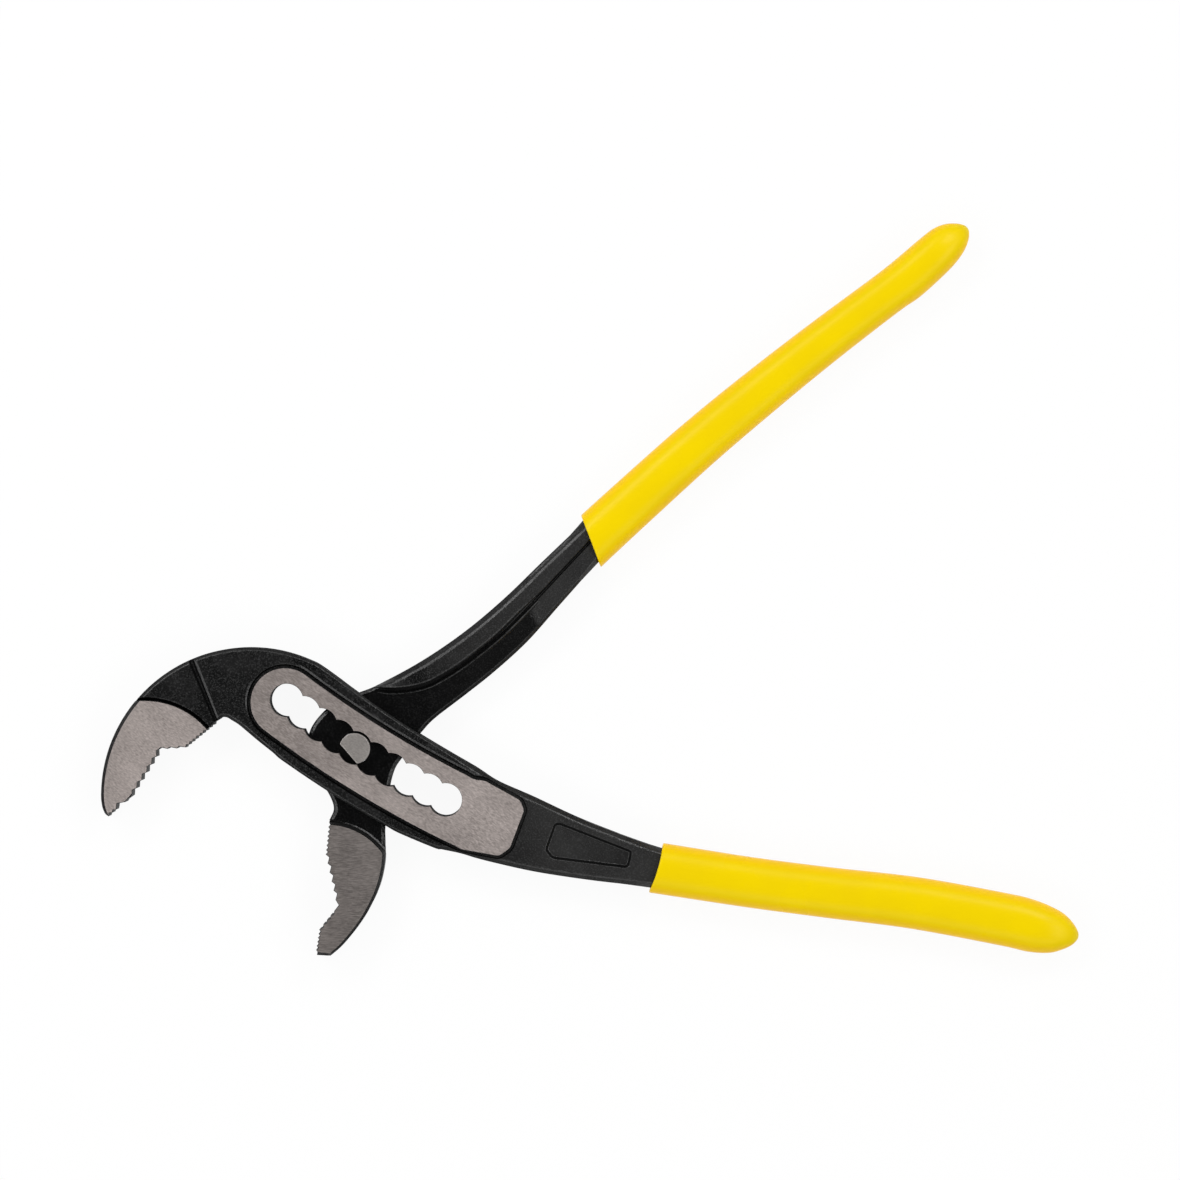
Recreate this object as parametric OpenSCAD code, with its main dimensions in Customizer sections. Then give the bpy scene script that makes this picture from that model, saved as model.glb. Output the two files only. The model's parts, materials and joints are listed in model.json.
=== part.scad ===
// Water pump pliers with a box joint. The inner handle passes through the outer handle, and the
// joint pin drops into the lobes of a curved slot. The tool lies flat on its side, handles open,
// with the pin's axis on the origin and the resting side on z = 0. Sizes are in millimetres.

/* [Joint] */
// Radius of the joint pin
pin_r = 4.85; // [4:0.05:6]
// Clearance between the pin and each lobe of the slot
lobe_gap = 0.1; // [0.05:0.05:0.3]
// Free play of the pin across the slot
lobe_play = 0.5; // [0.3:0.1:1.2]
// Number of lobes, which is the number of settings
lobe_count = 10; // [8:1:12]
// Distance from lobe to lobe
lobe_pitch = 6.54; // [5.4:0.02:8]
// Lobe that the pin rests in, counted from the head
rest_lobe = 4; // [2:1:6]
// Radius of the slot's long arc
slot_r = 337; // [250:1:450]
// Direction of the slot at the pin, in degrees
slot_dir = -32.6; // [-40:0.1:-25]
// Clearance of the pin's flatted side past the points between lobes
cusp_gap = 0.15; // [0.1:0.05:0.8]
// Distance of the pin's flat from its axis
pin_flat = 2.6; // [2:0.1:3.5]
// Direction along the flat, in degrees
flat_dir = -49; // [-60:1:-30]
// Running clearance of the pin in the inner handle's bore
bore_gap = 0.05; // [0.02:0.01:0.1]

/* [Thickness] */
// Thickness over the ground cheeks
head_t = 14; // [12:0.2:18]
// Height of the ground cheeks above the forged skin
cheek_step = 0.8; // [0.4:0.1:1.2]
// How far the ground jaw faces sit below the cheeks
jaw_step = 0.1; // [0:0.05:0.3]
// Thickness of the inner handle's blade
blade_t = 5.4; // [4:0.1:7]
// Clearance beside the blade in the window
blade_gap = 0.1; // [0.05:0.05:0.3]
// Thickness of the steel inside the grips
core_t = 9.6; // [8:0.1:11]
// Thickness of the grips
grip_t = 13.6; // [12:0.1:16]

/* [Head] */
// Radius of the hook's back
hook_r = 46.6; // [40:0.1:56]
// Width of the upper ground rail beside the lobes
rail_top = 4.75; // [3:0.05:6]
// Width of the lower ground rail beside the lobes
rail_bottom = 6.55; // [5:0.05:8]
// Width of the black rim above the upper rail
rim_top = 4.8; // [3:0.1:7]
// Width of the black rim below the lower rail
rim_bottom = 4.35; // [3:0.05:7]
// Radius of the blade's round shoulder about the pin
blade_r = 15.2; // [14:0.1:17]
// Clearance at the ends of the window
window_gap = 2.8; // [2.4:0.1:3.4]

/* [Teeth] */
// Depth of the coarse pipe teeth
coarse_depth = 0.9; // [0.4:0.1:1.4]
// Depth of the fine teeth
fine_depth = 0.55; // [0.3:0.05:0.9]
// Distance from tooth to tooth, coarse
coarse_pitch = 2.7; // [2:0.1:3.6]
// Distance from tooth to tooth, fine
fine_pitch = 1.35; // [1:0.05:1.8]

/* [Edges] */
// Corner radius along the jaws
jaw_round = 0.9; // [0.4:0.05:1]
// Corner radius along the forged edges
skin_round = 1.3; // [0.6:0.1:1.8]
// Depth of the panel pressed into the outer shank
panel_depth = 0.5; // [0.2:0.1:1]
// Width of the groove round the ground cheeks
groove_w = 1.1; // [0.6:0.1:1.6]
// Depth of that groove below the forged skin
groove_depth = 0.7; // [0.2:0.1:0.9]
// Chamfer on the ends of the pin
pin_chamfer = 0.25; // [0.1:0.05:0.4]
// Depth of the crease across the outer neck
crease_depth = 0.6; // [0.2:0.05:0.8]
// Half width of that crease, where it is widest
crease_w = 0.7; // [0.3:0.1:1]
// Step between the inner neck's rib and the flat beside it
rib_step = 0.7; // [0.3:0.1:1.2]
// Corner radius of the steel inside the grips
tang_round = 2; // [1:0.1:3]

/* [Handles] */
// Length of the outer handle's grip
outer_grip_len = 134.5; // [110:0.5:170]
// Length of the inner handle's grip
inner_grip_len = 154; // [125:0.5:190]
// Wall of the dipped grips
grip_wall = 1.7; // [1:0.1:2.5]
// Solid vinyl beyond the end of the steel
grip_end = 7; // [4:0.5:12]
// Rounding of the grips' mouths
mouth_round = 0.5; // [0.2:0.1:0.9]
// Bond clearance between grip and steel
grip_gap = 0.08; // [0:0.01:0.1]

/* [Hidden] */
$fn = 64;
corner_steps = 2;
oval_points = 24;

// Levels above and below the middle plane
mid_z = head_t / 2;
skin_h = mid_z - cheek_step;
jaw_h = mid_z - jaw_step;
blade_h = blade_t / 2;
window_h = blade_h + blade_gap;
core_h = core_t / 2;
grip_h = grip_t / 2;
through = head_t + 2;

// The slot's arc: a place on it is an angle from the pin and a distance towards the arc's centre
lobe_r = pin_r + lobe_gap;
cusp_top = lobe_r;
cusp_bottom = pin_r * cos(acos(pin_flat / pin_r) - abs(flat_dir - slot_dir)) + cusp_gap;
lobe_step = lobe_pitch / slot_r * 180 / PI;
first_step = -rest_lobe * lobe_step;
last_step = (lobe_count - 1 - rest_lobe) * lobe_step;
slot_c = polar(slot_r, slot_dir + 90);
slot_a = slot_dir + 270;
function on_slot(a, v) = slot_c + polar(slot_r - v, slot_a + a);
first_lobe = on_slot(first_step, 0);
last_lobe = on_slot(last_step, 0);

// Cheek and body edges, as distances from the pin's track
cheek_top = lobe_play + lobe_r + rail_top;
cheek_bottom = -lobe_r - rail_bottom;
body_top = cheek_top + rim_top;
body_bottom = cheek_bottom - rim_bottom;

// Plane curves
function polar(r, a) = [r * cos(a), r * sin(a)];
function arc(c, r, a0, a1, n) = [for (i = [0:n]) c + polar(r, a0 + (a1 - a0) * i / n)];
function moved(points, by) = [for (p = points) p + by];
function spline(a, b, c, d, t) =
    (2 * b + (c - a) * t + (2 * a - 5 * b + 4 * c - d) * t * t + (3 * b - a - 3 * c + d) * t * t * t) / 2;
function curve(p, n) = [
    for (i = [0:len(p) - 2]) for (k = [0:n - 1])
        spline(p[max(i - 1, 0)], p[i], p[i + 1], p[min(i + 2, len(p) - 1)], k / n),
    p[len(p) - 1]];

// A row of teeth from p to q: crests lie on the line, valleys to its left by the depth, and each
// valley follows its crest by a share of the pitch
function teeth(p, q, pitch, depth, share) =
    let (d = q - p, n = max(1, round(norm(d) / pitch)), side = [-d.y, d.x] / norm(d) * depth)
    [for (i = [0:n - 1]) each [p + d * i / n, p + d * (i + share) / n + side]];

// Section rings between two edge points, as [x, y, z]: a bar with round corners and a soft oval
function across(a, b, u, z) = let (p = (a + b) / 2 + (a - b) / 2 * u) [p.x, p.y, mid_z + z];
corners = [[1, 1], [-1, 1], [-1, -1], [1, -1]];
function bar_ring(a, b, h, round) =
    let (w = norm(a - b) / 2)
    [for (q = [0:3]) for (k = [0:corner_steps]) let (t = (q + k / corner_steps) * 90)
        across(a, b, (corners[q].x * (w - round) + round * cos(t)) / w,
            corners[q].y * (h - round) + round * sin(t))];
function oval_ring(a, b, h, n) =
    [for (k = [0:n - 1]) let (t = k * 360 / n, c = cos(t), s = sin(t))
        across(a, b, sign(c) * pow(abs(c), 0.75), h * sign(s) * pow(abs(s), 0.75))];
function split_ring(r, n) =
    [for (k = [0:len(r) - 1]) for (j = [0:n - 1]) r[k] + (r[(k + 1) % len(r)] - r[k]) * j / n];

function middle(r) = [for (i = [0:len(r)]) i < len(r) ? 1 : 0] * [each r, [0, 0, 0]] / len(r);

// Faces between rings of n points that start at point number "from"
function skin_faces(from, rings, n, flip) =
    [for (i = [0:rings - 2]) for (k = [0:n - 1])
        let (a = from + i * n + k, b = from + i * n + (k + 1) % n)
        each flip ? [[a, b, b + n], [a, b + n, a + n]] : [[a, b + n, b], [a, a + n, b + n]]];
function cap_face(from, n, flip) = [[for (k = [0:n - 1]) from + (flip ? n - 1 - k : k)]];

module loft(rings) {
    n = len(rings[0]);
    m = len(rings);
    polyhedron([for (r = rings) each r], concat(
        cap_face(0, n, false), skin_faces(0, m, n, false), cap_face((m - 1) * n, n, true)));
}

// A closed-ended sleeve: an outer and an inner skin that meet at the mouth, each with a fan at its end
module sleeve(outside, inside) {
    n = len(outside[0]);
    m = len(outside);
    k = len(inside);
    tips = (m + k) * n;
    mouth = [for (i = [0:n - 1]) let (j = (i + 1) % n)
        each [[i, j, m * n + j], [i, m * n + j, m * n + i]]];
    outer_fan = [for (i = [0:n - 1]) [(m - 1) * n + (i + 1) % n, (m - 1) * n + i, tips]];
    inner_fan = [for (i = [0:n - 1]) [tips - n + i, tips - n + (i + 1) % n, tips + 1]];
    points = [for (r = concat(outside, inside)) each r, middle(outside[m - 1]), middle(inside[k - 1])];
    polyhedron(points, concat(
        mouth, skin_faces(0, m, n, false), outer_fan, skin_faces(m * n, k, n, true), inner_fan));
}

// Grips: stations are [distance from the mouth, offset of the centre line, half width, mouth slant]
outer_grip_at = last_lobe + [66.2, -21.4];
outer_grip_dir = -8.8;
outer_grip_line = [
    [0, 0, 8.05, 0.13], [30, 0, 7.95, 0], [55, 0.6, 8, 0], [82, 1.5, 8.2, 0],
    [outer_grip_len - 24, 0.7, 8.3, 0], [outer_grip_len - 15, 0, 8.2, 0],
    [outer_grip_len - 8.5, -0.5, 7.1, 0], [outer_grip_len - 4.5, -0.6, 5.4, 0],
    [outer_grip_len - 1.5, -0.9, 3.1, 0], [outer_grip_len, -1, 1, 0]];
inner_grip_at = [74, 65.1];
inner_grip_dir = 39.7;
inner_grip_line = [
    [0, -0.1, 8.3, 0.34], [20, 0.9, 8.05, 0.1], [45, 1.9, 7.8, 0], [70, 2, 7.5, 0], [95, 1.5, 7.1, 0],
    [inner_grip_len - 34, 0.4, 6.8, 0], [inner_grip_len - 25, -0.1, 7, 0],
    [inner_grip_len - 14, 0.2, 6.8, 0],
    [inner_grip_len - 8.5, 0.5, 6.3, 0], [inner_grip_len - 4.5, 0.5, 5, 0],
    [inner_grip_len - 1.5, 0.3, 2.9, 0], [inner_grip_len, 0.2, 1, 0]];

// The edge points of a grip's station, pulled in by a wall and moved along by a shift
function station(at, dir, s, wall) =
    let (d = polar(1, dir), n = polar(1, dir + 90), w = s[2] - wall)
    [for (u = [1, -1]) at + d * (s[0] + s[3] * u * w) + n * (s[1] + u * w)];
function grip_edges(at, dir, line, wall) = [for (s = curve(line, 3)) station(at, dir, s, wall)];
function steel_edges(at, dir, line, len, wall) =
    [for (s = curve(line, 3)) if (s[0] < len - grip_end - 6) station(at, dir, s, wall),
     station(at, dir, [len - grip_end, line[len(line) - 4][1], line[len(line) - 5][2] - 2, 0], wall)];
// A dome at the grip's end: full thickness until the last stretch
function dome(s, len) = let (t = max(0, 1 - (len - s) / 15)) grip_h * sqrt(max(0.02, 1 - t * t));
function grip_ring(at, dir, s, h, wall) =
    let (e = station(at, dir, s, wall)) oval_ring(e[0], e[1], h - wall, oval_points);
function grip_outside(at, dir, line, len) = concat(
    [grip_ring(at, dir, line[0], grip_h, mouth_round)],
    [for (s = curve(line, 3))
        grip_ring(at, dir, s + [max(0, mouth_round - s[0]), 0, 0, 0], dome(s[0], len), 0)]);
function grip_inside(at, dir, line, len) =
    [for (e = steel_edges(at, dir, line, len + grip_gap, grip_wall - grip_gap))
        let (r = bar_ring(e[0], e[1], core_h + grip_gap, tang_round)) split_ring(r, oval_points / len(r))];

// Outer handle: its back edge and its mouth edge, station by station from the jaw's tip
hook_c = first_lobe + [-11.5, -29.8];
hook_from = 186.5;
hook_to = 62;
hook_count = 24;
mouth_points = moved([
    [-54.9, -37.7], [-49.8, -32.1], [-44.9, -26.3], [-40.9, -20.5], [-36.5, -17.5], [-31.1, -16],
    [-26.1, -12.1], [-21.7, -7.6], [-19.5, -5.2], [-17.4, -5.9], [-14.6, -7.7], [-9.5, -12],
    [-4, -16.4]], first_lobe);
shank_top_points = moved([[3.1, 14.1], [10, 10.1], [16.7, 5.8], [27.6, 1], [42, -5.7], [56.8, -11.5]],
    last_lobe);
shank_bottom_points = moved([[-3.3, -15], [4.5, -16.6], [12.1, -18.8], [27.4, -22.3], [43.2, -24.8],
    [55.5, -26.3]], last_lobe);
box_from = first_step + 1.45;
box_to = last_step - 1.3;
box_count = 10;
shank_from = hook_count + box_count + 2;
outer_tang = steel_edges(outer_grip_at, outer_grip_dir, outer_grip_line, outer_grip_len, grip_wall);
outer_back = concat(
    arc(hook_c, hook_r, hook_from, hook_to, hook_count),
    [for (i = [0:box_count]) on_slot(box_from + (box_to - box_from) * i / box_count,
        body_top + 0.4 - 1.3 * i / box_count)],
    curve(shank_top_points, 3), [for (e = outer_tang) e[0]]);
outer_front = concat(
    curve(mouth_points, hook_count / (len(mouth_points) - 1)),
    [for (i = [0:box_count]) on_slot(box_from + (box_to - box_from) * i / box_count, body_bottom)],
    curve(shank_bottom_points, 3), [for (e = outer_tang) e[1]]);
outer_steps = len(outer_back);
tang_from = outer_steps - len(outer_tang);
function outer_h(i) = i < shank_from ? jaw_h
    : i < tang_from ? jaw_h + (core_h - jaw_h) * (i - shank_from + 1) / (tang_from - shank_from + 1) : core_h;
function outer_round(i) = let (t = max(0, min(1, (i - hook_count / 2 + 1) / (hook_count / 3))))
    i < tang_from ? jaw_round + (skin_round + jaw_h - skin_h - jaw_round) * t : tang_round;

upper_border_c = first_lobe + [-44.4, -25.8];
upper_border_r = 26.6;
upper_tip = curve([[-58.3, -29.6], [-57.9, -32.4], [-57.2, -34.6], [-56.6, -35.6], [-55.9, -36]], 3);
upper_teeth = concat(
    teeth([-55.6, -36], [-53.3, -34.1], fine_pitch, fine_depth, 0.45),
    [[-53.3, -34.1], [-53, -32.2], [-50.4, -31.7], [-49.9, -30.9]],
    teeth([-48.3, -29.8], [-40.5, -17.4], coarse_pitch, coarse_depth, 0.55),
    [[-40.5, -17.4], [-40.6, -15.6]],
    teeth([-40, -15.2], [-31.4, -14.8], coarse_pitch, fine_depth, 0.25),
    teeth([-31.4, -14.6], [-21.5, -6.6], fine_pitch, fine_depth, 0.45));
upper_mouth = moved(concat(
    upper_tip, upper_teeth, [[-20.7, -5.6], [-20.4, -12], [-40, -45], [-62, -40]]), first_lobe);

cheek_pad = moved([[9.2, 6.6], [12.4, 6.3], [23.6, 0.1], [24.9, -3.1], [20.4, -15], [16.9, -17.5],
    [5.1, -15.4], [3.1, -14.3]], last_lobe);
cheek_from = first_step;
cheek_to = last_step + 0.4;
cheek_steps = 12;
function cheek_a(i) = cheek_from + (cheek_to - cheek_from) * i / cheek_steps;
function grown(points, g) =
    let (c = (points[0] + points[4]) / 2) [for (p = points) p + (p - c) / norm(p - c) * g];
function cheek_outline(g) = concat(
    [for (i = [0:cheek_steps]) on_slot(cheek_a(i), cheek_top + g)],
    grown(cheek_pad, g),
    [for (i = [cheek_steps:-1:0]) on_slot(cheek_a(i), cheek_bottom - g)]);
cheek_mid = (cheek_top + cheek_bottom) / 2;
// The round end swells a little past the rails, so that the two meet at an angle
cheek_swell = 0.06;
cheek_end_r = (cheek_top - cheek_bottom) / 2 + cheek_swell;

// The window that the inner handle swings and slides in, open at both edges
window_r = blade_r + window_gap;
window_end = moved([[46, 8], [43.6, -6.6], [34, -7.2], [26, -8], [21.5, -10.5], [20, -24]], last_lobe);
window_reach = 26;
window_outline = concat(
    [for (i = [0:8]) on_slot(first_step + (last_step - first_step) * i / 8, window_reach)],
    window_end,
    [for (i = [8:-1:0]) on_slot(first_step + (last_step - first_step) * i / 8, -window_reach)]);

panel_outline = moved([[34.2, -7.2], [36.2, -7], [58.8, -15.9], [58, -20.2], [57, -21.4], [33.4, -18.4],
    [31.2, -15.6]], last_lobe);
// The panel's floor runs parallel to the shank's face, which falls from one station to the other
panel_from = shank_from + 10;
panel_to = tang_from - 2;
function outer_mid(i) = (outer_back[i] + outer_front[i]) / 2;
panel_run = outer_mid(panel_to) - outer_mid(panel_from);
panel_fall = atan2(outer_h(panel_from) - outer_h(panel_to), norm(panel_run));
crease = moved([[-29.6, 12.2], [-22.2, -5.8]], first_lobe);

// Inner handle: its toothed and upper edge, and its back and lower edge, from the jaw's tip
inner_upper_points = concat([
    [-14.4, -64.6], [-13.9, -59.5], [-12.8, -55.2], [-9.8, -51.8], [-7.6, -48.6], [-8.6, -44.5],
    [-10.3, -39.5], [-11.1, -33.5], [-10.9, -28], [-8, -22.4], [-6.7, -18.6], [-8.7, -13.6]],
    arc([0, 0], blade_r, 212, 130, 3), [
    [-4.6, 15.4], [0.6, 17.3], [7.8, 20.2], [21.7, 27.9], [34.9, 37], [47, 47.2], [58.5, 58.3],
    [67.5, 66.9]]);
inner_lower_points = [
    [-7.6, -65], [-3.9, -61.8], [0.1, -57.1], [3, -53], [5.2, -49], [6.9, -45.4], [8.4, -41],
    [9.4, -35.4], [9.5, -30], [9.4, -25.5], [9.6, -21.5], [10.1, -17.5], [10.7, -13.5], [11.4, -9.8],
    [12.7, -6], [14.9, -2.8], [17.5, 0.9], [20.8, 5], [25, 9.4], [34.5, 16.7], [43.8, 24.1],
    [54, 33.4], [63.4, 44], [71, 52.6]];
inner_tang = steel_edges(inner_grip_at, inner_grip_dir, inner_grip_line, inner_grip_len, grip_wall);
inner_upper = concat(curve(inner_upper_points, 2), [for (e = inner_tang) e[0]]);
inner_lower = concat(curve(inner_lower_points, 2), [for (e = inner_tang) e[1]]);
inner_steps = len(inner_upper);
inner_tang_from = inner_steps - len(inner_tang);
jaw_to = 20;
neck_from = 30;
rib_h = core_h + rib_step;
function inner_h(i) = i < neck_from ? jaw_h : i < inner_tang_from ? rib_h : core_h;
function inner_round(i) = i < jaw_to ? jaw_round : i < inner_tang_from ? skin_round : tang_round;

lower_border_c = [-8.9, -45.6];
lower_border_r = 22.7;
lower_teeth = concat(
    teeth([-8.1, -23.2], [-9.1, -33.2], fine_pitch, fine_depth, 0.45),
    teeth([-9.1, -33.2], [-6, -47.4], coarse_pitch, coarse_depth, 0.4),
    [[-6, -47.4], [-5, -49.1]],
    teeth([-6.4, -50.9], [-10.9, -56.4], coarse_pitch / 1.5, fine_depth, 0.5),
    teeth([-11.1, -56.8], [-12.3, -64.4], fine_pitch, fine_depth, 0.45));
lower_mouth = concat(lower_teeth, [[-12.7, -68], [-24, -68], [-24, -22.6], [-8, -22.6]]);

rib_line = [[-24, 20], [-4, 23], [6, 18.6], [11.1, 17.8], [17.3, 18.3], [22.4, 19.5], [25.9, 21.1],
    [32.5, 25.1], [39.3, 30.2], [46.2, 36], [54.7, 44.5], [67.9, 58.6]];
recess_end = [[56.8, 43.2], [60.5, 36]];
recess_outline = concat(
    [for (i = [0:10]) rib_line[i]], recess_end, [[40, -10], [24, -30]],
    arc(lower_border_c, lower_border_r, 25, 120, 20), [[-30, -10]]);
flat_outline = [rib_line[10], rib_line[11], [72.4, 63.2], [80, 52], [70, 40], recess_end[1], recess_end[0]];

// Both faces: the shape and its mirror image in the middle plane
module both_faces() {
    translate([0, 0, mid_z]) {
        children();
        mirror([0, 0, 1]) children();
    }
}

// A pocket from a level above the middle plane upwards, on both faces
module pocket(outline, level) {
    both_faces() translate([0, 0, level]) linear_extrude(through) polygon(outline);
}

module slot_lobes() {
    for (i = [0:lobe_count - 1])
        for (v = [0, lobe_play])
            let (p = on_slot((i - rest_lobe) * lobe_step, v))
                translate([p.x, p.y, -1]) cylinder(r = lobe_r, h = through);
    translate([slot_c.x, slot_c.y, -1]) rotate([0, 0, slot_a + first_step])
        rotate_extrude(angle = last_step - first_step)
            translate([slot_r - cusp_top, 0]) square([cusp_top + cusp_bottom, through]);
}

module window() {
    translate([0, 0, mid_z - window_h]) {
        linear_extrude(2 * window_h) polygon(window_outline);
        translate([first_lobe.x, first_lobe.y, 0]) cylinder(r = window_r, h = 2 * window_h);
    }
}

// The forged skin lies lower than the ground jaw face and the ground cheeks
module skin_pocket() {
    both_faces() translate([0, 0, skin_h]) difference() {
        translate([first_lobe.x - 80, first_lobe.y - 80, 0]) cube([240, 140, through]);
        translate([upper_border_c.x, upper_border_c.y, -1]) cylinder(r = upper_border_r, h = through + 2);
    }
}

module crease_cut() {
    d = crease[1] - crease[0];
    both_faces() translate([crease[0].x, crease[0].y, skin_h]) rotate([0, 0, atan2(d.y, d.x)])
        rotate([90, 0, 90]) linear_extrude(norm(d) + 8)
            polygon([[-crease_w, crease_depth], [0, -crease_depth], [crease_w, crease_depth]]);
}

module panel_cut() {
    p = outer_mid(panel_from);
    both_faces() translate([p.x, p.y, outer_h(panel_from) - panel_depth])
        rotate(a = panel_fall, v = [-panel_run.y, panel_run.x, 0])
            translate([-p.x, -p.y, 0]) linear_extrude(through) polygon(panel_outline);
}

// The cheeks' plan, grown by g all round
module cheek_plate(g, h) {
    linear_extrude(h) polygon(cheek_outline(g));
    p = on_slot(first_step, cheek_mid);
    translate([p.x, p.y, 0]) cylinder(r = cheek_end_r + g, h = h);
}

module outer_handle() {
    color("dimgray") difference() {
        union() {
            difference() {
                loft([for (i = [0:outer_steps - 1])
                    bar_ring(outer_back[i], outer_front[i], outer_h(i), outer_round(i))]);
                skin_pocket();
                crease_cut();
                both_faces() translate([0, 0, skin_h - groove_depth]) cheek_plate(groove_w, through);
            }
            cheek_plate(0, head_t);
        }
        translate([0, 0, -1]) linear_extrude(through) polygon(upper_mouth);
        window();
        slot_lobes();
        panel_cut();
    }
}

module inner_handle() {
    color("darkslategray") difference() {
        loft([for (i = [0:inner_steps - 1])
            bar_ring(inner_upper[i], inner_lower[i], inner_h(i), inner_round(i))]);
        pocket(recess_outline, blade_h);
        pocket(flat_outline, rib_h - rib_step);
        translate([0, 0, -1]) linear_extrude(through) polygon(lower_mouth);
        translate([0, 0, -1]) cylinder(r = pin_r + bore_gap, h = through);
    }
}

module joint_pin() {
    color("silver") difference() {
        union() {
            translate([0, 0, pin_chamfer]) cylinder(r = pin_r, h = head_t - 2 * pin_chamfer);
            both_faces() translate([0, 0, mid_z - pin_chamfer])
                cylinder(r1 = pin_r, r2 = pin_r - pin_chamfer, h = pin_chamfer);
        }
        both_faces() rotate([0, 0, flat_dir]) translate([-pin_r, -pin_r - pin_flat, window_h])
            cube([2 * pin_r, pin_r, through]);
    }
}

module outer_grip() {
    color("gold") sleeve(
        grip_outside(outer_grip_at, outer_grip_dir, outer_grip_line, outer_grip_len),
        grip_inside(outer_grip_at, outer_grip_dir, outer_grip_line, outer_grip_len));
}

module inner_grip() {
    color("gold") sleeve(
        grip_outside(inner_grip_at, inner_grip_dir, inner_grip_line, inner_grip_len),
        grip_inside(inner_grip_at, inner_grip_dir, inner_grip_line, inner_grip_len));
}

outer_handle();
inner_handle();
joint_pin();
outer_grip();
inner_grip();
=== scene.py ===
import json

import bmesh
import bpy
import numpy as np
from mathutils import Matrix, Vector


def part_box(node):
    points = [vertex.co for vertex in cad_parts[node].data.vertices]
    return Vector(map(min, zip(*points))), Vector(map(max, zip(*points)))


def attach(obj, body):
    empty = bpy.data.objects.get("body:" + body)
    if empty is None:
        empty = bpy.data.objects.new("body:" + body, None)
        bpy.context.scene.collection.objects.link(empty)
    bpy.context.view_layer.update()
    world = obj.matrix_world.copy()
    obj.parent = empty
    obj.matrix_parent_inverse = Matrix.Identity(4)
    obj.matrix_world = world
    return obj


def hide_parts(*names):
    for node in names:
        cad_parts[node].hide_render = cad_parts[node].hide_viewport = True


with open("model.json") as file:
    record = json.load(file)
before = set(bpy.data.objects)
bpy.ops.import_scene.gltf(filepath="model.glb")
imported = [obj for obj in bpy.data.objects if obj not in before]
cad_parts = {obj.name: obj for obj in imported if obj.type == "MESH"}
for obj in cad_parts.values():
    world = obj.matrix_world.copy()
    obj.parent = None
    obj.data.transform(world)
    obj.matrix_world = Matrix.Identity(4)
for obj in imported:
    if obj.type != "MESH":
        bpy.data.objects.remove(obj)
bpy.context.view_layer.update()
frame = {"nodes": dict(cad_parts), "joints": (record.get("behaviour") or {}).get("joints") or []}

mm = 0.001                     # shapes are worked out in millimetres and scaled once, at the end
print("frame loaded:", ", ".join(sorted(frame["nodes"])))

# The joint, read from the frame: the pin stands on the origin and slides on the slot's long arc
setting = next(j for j in frame["joints"] if j["name"] == "setting")
pinBox = [np.array(corner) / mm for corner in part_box("joint_pin")]
midZ = (pinBox[0][2] + pinBox[1][2]) / 2
pinRadius = (pinBox[1][0] - pinBox[0][0]) / 2
slotCentre = np.array(setting["pos_m"][:2]) / mm
slotRadius = np.hypot(*slotCentre)
slotAngle = np.degrees(np.arctan2(-slotCentre[1], -slotCentre[0]))
firstStep, lastStep = setting["range_deg"]

# Half thicknesses, measured from the middle plane; "past" is clear of both faces
level = {"cheek": midZ, "jaw": 6.9, "skin": 6.2, "core": 4.8, "window": 2.95, "past": midZ + 2}
nudge = 0.01                   # keeps a comparison of lengths clear of rounding


# Plane curves

# Points at a radius and an angle in degrees about the origin
def polar(radius, degrees):
    turn = np.radians(degrees)
    return np.stack([radius * np.cos(turn), radius * np.sin(turn)], -1)


# A circle's arc cut into equal steps of angle
def arcLine(centre, radius, first, last, count):
    return np.asarray(centre) + polar(radius, np.linspace(first, last, count + 1))


# A whole circle, as an outline
def circleLine(centre, radius, count):
    return arcLine(centre, radius, 0, 360, count)[:-1]


# Vectors brought to length 1
def unit(vectors):
    return vectors / np.linalg.norm(vectors, axis=1)[:, None]


# Values given as (station, value) pairs, read off at every station
def valuesAt(stations, pairs):
    return np.interp(stations, *zip(*pairs))


# A cubic through every point: each span leaves along the line between its neighbours
def smoothLine(points, perSpan):
    p = np.asarray(points, float)
    before, after = np.vstack([p[:1], p[:-2]]), np.vstack([p[2:], p[-1:]])
    a, b, c, d = (x[:, None] for x in (before, p[:-1], p[1:], after))
    t = (np.arange(perSpan) / perSpan)[None, :, None]
    line = 2 * b + (c - a) * t + (2 * a - 5 * b + 4 * c - d) * t**2 + (3 * b - a - 3 * c + d) * t**3
    return np.vstack([line.reshape(-1, p.shape[1]) / 2, p[-1:]])


# A place on the slot: an angle from the pin along the arc, and a distance towards the arc's centre
def onSlot(step, inward):
    return slotCentre + polar(slotRadius - np.asarray(inward), slotAngle + np.asarray(step))


firstLobe, lastLobe = onSlot(firstStep, 0), onSlot(lastStep, 0)


# A row of teeth: crests on the line from start to end, valleys to its left by the depth, each valley
# a share of the pitch past its crest
def toothRow(start, end, pitch, depth, share):
    start, end = np.array(start, float), np.array(end, float)
    run = end - start
    length = np.hypot(*run)
    count = max(1, round(length / pitch))
    left = np.array([-run[1], run[0]]) / length * depth
    k = np.arange(count)[:, None]
    return np.stack([start + run * k / count, start + run * (k + share) / count + left], 1).reshape(-1, 2)


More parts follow.
